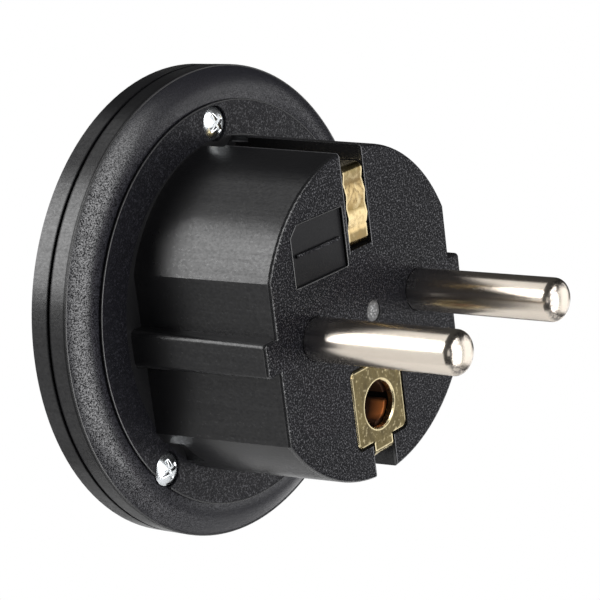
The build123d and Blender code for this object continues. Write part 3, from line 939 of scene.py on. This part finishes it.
@dataclass
class CoverScrews:
    """Round-headed cross-recess screws that hold the two discs together, three alike in one mesh."""

    circle_radius: float = 21.05 * MM
    circle_z: float = -0.4 * MM
    angles: tuple[float, ...] = (90.0, 222.7, 317.3)
    turns: tuple[float, ...] = (28.0, 12.0, 61.0)
    seat_y: float = 19.0 * MM
    head_radius: float = 1.85 * MM
    head_height: float = 1.2 * MM
    head_wall: float = 0.45 * MM
    shank_radius: float = 1.0 * MM
    length: float = 5.4 * MM
    arm_half_width: float = 0.27 * MM
    arm_reach: float = 1.15 * MM
    recess_depth: float = 0.34 * MM
    recess_taper: float = 0.55
    edge_soft: float = 0.24 * MM
    rings: int = 52
    sectors: int = 144
    sharp_angle: float = 40.0

    def centres(self) -> np.ndarray:
        """Places of the screws' axes: each angle on a circle whose centre is moved along Z.

        Returns:
            Screws by 3, with Y at 0.
        """
        angle = np.radians(self.angles)
        z = self.circle_z + self.circle_radius * np.sin(angle)
        return np.stack([self.circle_radius * np.cos(angle), np.zeros_like(angle), z], axis=-1)

    def inside(self, value: np.ndarray, limit: float) -> np.ndarray:
        """Smooth step, 3 t squared less 2 t cubed, from 1 inside the limit to 0 past the soft edge."""
        t = np.clip((limit - np.abs(value)) / self.edge_soft + 0.5, 0.0, 1.0)
        return t * t * (3.0 - 2.0 * t)

    def recess(self, across: np.ndarray, along: np.ndarray) -> np.ndarray:
        """Depth of the cross: full inside either arm, falling off over the soft edge, shallower outwards.

        Args:
            across: First coordinate in the head's plane.
            along: Second coordinate in the head's plane.

        Returns:
            Depth below the dome at each point.
        """
        first = self.inside(across, self.arm_half_width) * self.inside(along, self.arm_reach)
        second = self.inside(along, self.arm_half_width) * self.inside(across, self.arm_reach)
        taper = 1.0 - self.recess_taper * np.hypot(across, along) / self.arm_reach
        return self.recess_depth * np.maximum(first, second) * np.clip(taper, 0.0, 1.0)

    def screw_points(self, turn: float) -> np.ndarray:
        """One screw on its own axis.

        The outline runs out over a circular-arc dome, down a short wall, in along the seat, down the shank
        and to its end, and is carried once round the axis. The cross is taken off the dome.

        Args:
            turn: Turn of the cross in degrees.

        Returns:
            Rings by sectors by 3 points, without the two poles.
        """
        rise = self.head_height - self.head_wall
        dome = (self.head_radius**2 + rise**2) / (2.0 * rise)
        radius = np.linspace(0.0, self.head_radius, self.rings + 1)[1:]
        depth = dome - np.sqrt(dome**2 - radius**2)
        radius = np.concatenate([radius, [self.head_radius], [self.shank_radius] * 2])
        ends = [self.seat_y, self.seat_y, self.seat_y + self.length]
        height = np.concatenate([self.seat_y - self.head_height + depth, ends])
        angle = round_angles(self.sectors)
        x = radius[:, None] * np.cos(angle)
        z = radius[:, None] * np.sin(angle)
        c, s = np.cos(np.radians(turn)), np.sin(np.radians(turn))
        sunk = self.recess(c * x + s * z, c * z - s * x)
        sunk[self.rings:] = 0.0
        return np.stack([x, height[:, None] + sunk, z], axis=-1)

    def build(self) -> None:
        """Makes the three screws as one mesh that stands for the plain ones."""
        top_y = self.seat_y - self.head_height + self.recess_depth
        poles = np.array([[0.0, top_y, 0.0], [0.0, self.seat_y + self.length, 0.0]])
        points, faces, start = [], [], 0
        for centre, turn in zip(self.centres(), self.turns):
            rings = self.screw_points(turn)
            points.append(np.concatenate([rings.reshape(-1, 3), poles]) + centre)
            faces += turned_faces(len(rings), self.sectors, start)
            start += len(points[-1])
        points = np.concatenate(points)
        piece = add_piece("cover_screw_heads", points, faces, Finish.SCREW_ZINC, self.sharp_angle)
        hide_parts("cover_screws")


@dataclass
class PlugPin:
    """Turned pin: domed tip with a tangent round, shank, neck, inner collar, tail and riveted head."""

    name: str
    node: str
    centre_x: float
    radius: float = 2.4 * MM
    reach: float = 19.0 * MM
    dome_height: float = 0.7 * MM
    tip_round: float = 1.2 * MM
    neck_radius: float = 2.0 * MM
    neck_end: float = 4.0 * MM
    collar_radius: float = 3.5 * MM
    collar_end: float = 5.2 * MM
    tail_radius: float = 1.5 * MM
    tail_end: float = 5.8 * MM
    head_radius: float = 2.0 * MM
    head_rim: float = 1.65 * MM
    head_end: float = 6.5 * MM
    dome_steps: int = 12
    round_steps: int = 20
    shank_steps: int = 9
    sectors: int = 128
    sharp_angle: float = 35.0

    def outline(self) -> np.ndarray:
        """Radius and place along Y, from near the tip's pole to the rim of the riveted head.

        The dome is a circular arc about a point on the axis. The round is a circle that touches the dome from
        inside and the shank, so its centre is one round in from the shank and lies at the dome's radius less
        the round from the dome's centre. Both arcs run to the angle where they touch.

        Returns:
            Rows of radius and Y.
        """
        dome = (self.radius**2 + self.dome_height**2) / (2.0 * self.dome_height)
        centre_y = dome - self.reach
        inset = self.radius - self.tip_round
        meet = np.arcsin(inset / (dome - self.tip_round))
        round_y = centre_y - (dome - self.tip_round) * np.cos(meet)
        on_dome = np.linspace(0.0, meet, self.dome_steps + 1)[1:]
        on_round = np.linspace(meet, np.pi / 2, self.round_steps + 1)[1:]
        tip = np.stack([dome * np.sin(on_dome), centre_y - dome * np.cos(on_dome)], axis=-1)
        turn_y = round_y - self.tip_round * np.cos(on_round)
        turn = np.stack([inset + self.tip_round * np.sin(on_round), turn_y], axis=-1)
        shank_y = np.linspace(round_y, 0.0, self.shank_steps + 1)[1:]
        shank = np.stack([np.full(self.shank_steps, self.radius), shank_y], axis=-1)
        inner = np.array([
            (self.neck_radius, 0.0), (self.neck_radius, self.neck_end),
            (self.collar_radius, self.neck_end), (self.collar_radius, self.collar_end),
            (self.tail_radius, self.collar_end), (self.tail_radius, self.tail_end),
            (self.head_radius, self.tail_end), (self.head_rim, self.head_end)])
        return np.concatenate([tip, turn, shank, inner])

    def build(self) -> None:
        """Carries the outline once round the pin's axis and closes both ends with a fan to a pole."""
        line = self.outline()
        angle = round_angles(self.sectors)
        x = self.centre_x + line[:, :1] * np.cos(angle)
        y = np.repeat(line[:, 1:], self.sectors, axis=1)
        z = line[:, :1] * np.sin(angle)
        poles = np.array([[self.centre_x, -self.reach, 0.0], [self.centre_x, line[-1, 1], 0.0]])
        points = np.concatenate([np.stack([x, y, z], axis=-1).reshape(-1, 3), poles])
        faces = turned_faces(len(line), self.sectors)
        piece = add_piece(self.name, points, faces, Finish.NICKEL, self.sharp_angle)
        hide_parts(self.node)


@dataclass
class Bead:
    """Thin moulded line: a round section carried along a path."""

    name: str
    path: np.ndarray
    radius: float
    closed: bool = True
    finish: Finish = Finish.EDGE
    sides: int = 10

    def build(self) -> None:
        """Sweeps a circle along the path.

        At each path point the tangent is the difference of its neighbours, one axis of the circle is Y, and
        the other is square to both. A closed path's last ring joins the first; an open one has flat ends.
        """
        tangent = np.gradient(self.path, axis=0)
        if self.closed:
            tangent = np.roll(self.path, -1, axis=0) - np.roll(self.path, 1, axis=0)
        axis = np.array([0.0, 1.0, 0.0])
        across = np.cross(axis, tangent)
        across /= np.linalg.norm(across, axis=1)[:, None]
        turn = round_angles(self.sides)
        ring = np.cos(turn)[None, :, None] * across[:, None, :] + np.sin(turn)[None, :, None] * axis
        points = (self.path[:, None, :] + self.radius * ring).reshape(-1, 3)
        faces = ring_quads(len(self.path), self.sides, self.closed).tolist()
        if not self.closed:
            first = list(range(self.sides))[::-1]
            last = list(range(len(points) - self.sides, len(points)))
            faces += [first, last]
        add_piece(self.name, points, faces, self.finish)


@dataclass
class MouldedLines:
    """The lines that edge the flange's plateau, its crease and the blank panel on the pin face."""

    line_radius: float = 0.10 * MM
    crease_radius: float = 26.64 * MM
    crease_y: float = 19.86 * MM
    crease_steps: int = 180
    plateau_radius: float = 22.85 * MM
    plateau_y: float = 18.25 * MM
    seat_radius: float = 2.14 * MM
    arc_steps: int = 120
    panel_width: float = 9.3 * MM
    panel_height: float = 6.65 * MM
    panel_cut: float = 1.2 * MM
    panel_y: float = 0.02 * MM
    side_steps: int = 12

    @staticmethod
    def circle(radius: float, y: float, turn: np.ndarray) -> np.ndarray:
        """Points by 3 at the given turns in radians round the plug axis."""
        return np.stack([radius * np.cos(turn), np.full_like(turn, y), radius * np.sin(turn)], axis=-1)

    def plateau_arcs(self) -> list[np.ndarray]:
        """Angles of the plateau line between the screw seats.

        A seat at distance d from the axis takes out the angle whose cosine is (R^2 + d^2 - s^2) / (2 R d) on
        either side of it, for a line of radius R and a seat of radius s. A seat that it misses takes none.

        Returns:
            One row of angles for each arc.
        """
        x, _, z = CoverScrews().centres().T
        d = np.hypot(x, z)
        cosine = (self.plateau_radius**2 + d**2 - self.seat_radius**2) / (2.0 * self.plateau_radius * d)
        cut = cosine < 1.0
        middle, half = np.arctan2(z, x)[cut], np.arccos(cosine[cut])
        order = np.argsort(middle)
        middle, half = middle[order], half[order]
        starts = middle + half
        ends = np.append(middle[1:], middle[0] + 2.0 * np.pi) - np.roll(half, -1)
        return [np.linspace(start, end, self.arc_steps) for start, end in zip(starts, ends)]

    def panel_path(self) -> np.ndarray:
        """Five-sided outline: straight runs between the corners, each cut into equal steps.

        Returns:
            Points by 3.
        """
        w, h, cut = self.panel_width / 2, self.panel_height / 2, self.panel_cut
        corners = np.array([(-w, -h), (w, -h), (w, h), (-w + cut, h), (-w, h - cut)])
        share = np.linspace(0.0, 1.0, self.side_steps, endpoint=False)[None, :, None]
        runs = corners[:, None, :] + share * (np.roll(corners, -1, axis=0) - corners)[:, None, :]
        flat = runs.reshape(-1, 2) + (PANEL_X * MM, PANEL_Z * MM)
        return np.stack([flat[:, 0], np.full(len(flat), self.panel_y), flat[:, 1]], axis=-1)

    def build(self) -> None:
        """Adds the lines."""
        crease = self.circle(self.crease_radius, self.crease_y, round_angles(self.crease_steps))
        Bead("crease_line", crease, self.line_radius).build()
        for number, turn in enumerate(self.plateau_arcs(), 1):
            path = self.circle(self.plateau_radius, self.plateau_y, turn)
            Bead(f"plateau_line_{number}", path, self.line_radius, closed=False).build()
        Bead("panel_line", self.panel_path(), self.line_radius, finish=Finish.PANEL_EDGE).build()


@dataclass(frozen=True)
class Panel:
    """Soft light panel that faces the part: direction and size in degrees, brightness, distance in metres."""

    name: str
    azimuth: float
    elevation: float
    width: float
    height: float
    brightness: float
    distance: float = 0.6

    def build(self, target: Vector) -> None:
        """Adds the lamp.

        The place is the target plus the distance along the direction. The size spans the given angles, and
        the power is pi times the area times the brightness.

        Args:
            target: The point that the panel faces.
        """
        turn, rise = np.radians(self.azimuth), np.radians(self.elevation)
        toward = Vector((np.cos(rise) * np.cos(turn), np.cos(rise) * np.sin(turn), np.sin(rise)))
        lamp = bpy.data.lights.new(self.name, "AREA")
        lamp.shape = "RECTANGLE"
        lamp.size = 2.0 * self.distance * np.tan(np.radians(self.width / 2))
        lamp.size_y = 2.0 * self.distance * np.tan(np.radians(self.height / 2))
        lamp.energy = np.pi * lamp.size * lamp.size_y * self.brightness
        item = bpy.data.objects.new(self.name, lamp)
        item.location = target + toward * self.distance
        item.rotation_euler = toward.to_track_quat("Z", "Y").to_euler()
        item.visible_camera = False
        bpy.context.scene.collection.objects.link(item)
        LOG.info("%s: brightness %.1f", self.name, self.brightness)


@dataclass
class Studio:
    """White backdrop in a dim room, a round floor well below the held part, soft panels and the camera."""

    floor_z: float = -0.22
    floor_radius: float = 0.24
    floor_sectors: int = 96
    backdrop: float = 1.0
    room: float = 0.04
    aim: Triple = (0.0, 0.01, 0.0)
    eye: Triple = (-0.199151, -0.151977, 0.070721)
    right: Triple = (0.59912, -0.79165, -0.11982)
    up: Triple = (0.28100, 0.06776, 0.95731)
    focal_px: float = 2400.0
    image_px: float = 600.0
    sensor: float = 36.0
    clip_start: float = 0.01
    clip_end: float = 20.0
    panels: tuple[Panel, ...] = (
        Panel("left_panel", 131.0, 30.0, 32.0, 38.0, 6.4),
        Panel("left_low_panel", 138.0, -17.0, 54.0, 56.0, 0.72, 0.75),
        Panel("front_panel", -88.0, 3.0, 50.0, 80.0, 4.5),
        Panel("right_panel", -31.0, -10.0, 40.0, 44.0, 1.2),
        Panel("high_panel", 94.0, 56.0, 34.0, 24.0, 0.9),
        Panel("camera_fill", -142.0, 12.0, 26.0, 26.0, 0.8),
        Panel("under_panel", 10.0, -30.0, 30.0, 24.0, 1.3, 0.75),
        Panel("back_panel", 62.0, -14.0, 40.0, 46.0, 0.9, 0.75),
    )

    def build_floor(self) -> None:
        """Flat disc: points at equal turns round a circle of the floor's radius, closed as one face."""
        turn = round_angles(self.floor_sectors)
        height = np.full_like(turn, self.floor_z)
        x, y = self.floor_radius * np.cos(turn), self.floor_radius * np.sin(turn)
        mesh = bpy.data.meshes.new("floor")
        mesh.from_pydata(np.stack([x, y, height], axis=-1).tolist(), [], [list(range(len(turn)))])
        floor = bpy.data.objects.new("floor", mesh)
        mesh.materials.append(StudioFloor().build())
        bpy.context.scene.collection.objects.link(floor)

    def build_light(self) -> None:
        """Soft panels, a backdrop that the camera sees as white, and dimmer light from all round."""
        for panel in self.panels:
            panel.build(Vector(self.aim))
        world = bpy.data.worlds.new("white_room")
        world.use_nodes = True
        tree = world.node_tree
        back = tree.nodes["Background"]
        back.inputs["Color"].default_value = (1.0, 1.0, 1.0, 1.0)
        path = tree.nodes.new("ShaderNodeLightPath")
        span = tree.nodes.new("ShaderNodeMapRange")
        span.inputs["To Min"].default_value = self.room
        span.inputs["To Max"].default_value = self.backdrop
        tree.links.new(path.outputs["Is Camera Ray"], span.inputs["Value"])
        tree.links.new(span.outputs["Result"], back.inputs["Strength"])
        bpy.context.scene.world = world

    def build_camera(self) -> None:
        """Camera at the photograph's place, with its roll kept."""
        data = bpy.data.cameras.new("camera")
        data.sensor_width = self.sensor
        data.lens = self.focal_px / self.image_px * self.sensor
        data.clip_start = self.clip_start
        data.clip_end = self.clip_end
        right = Vector(self.right).normalized()
        back = right.cross(Vector(self.up)).normalized()
        up = back.cross(right)
        turn = Matrix((right, up, back)).transposed().to_4x4()
        camera = bpy.data.objects.new("camera", data)
        camera.matrix_world = Matrix.Translation(Vector(self.eye)) @ turn
        bpy.context.scene.collection.objects.link(camera)
        bpy.context.scene.camera = camera

    def build(self) -> None:
        """Sets up the whole studio."""
        self.build_floor()
        self.build_light()
        self.build_camera()
        bpy.context.scene.view_settings.view_transform = "Standard"


def main() -> None:
    """Builds the classes in order and reports each piece."""
    logging.basicConfig(level=logging.INFO)
    Studio().build()
    dress_nodes()
    CoverScrews().build()
    PlugPin("neutral_pin_turned", "neutral_pin", -PIN_X * MM).build()
    PlugPin("line_pin_turned", "line_pin", PIN_X * MM).build()
    MouldedLines().build()


if __name__ == "__main__":
    main()
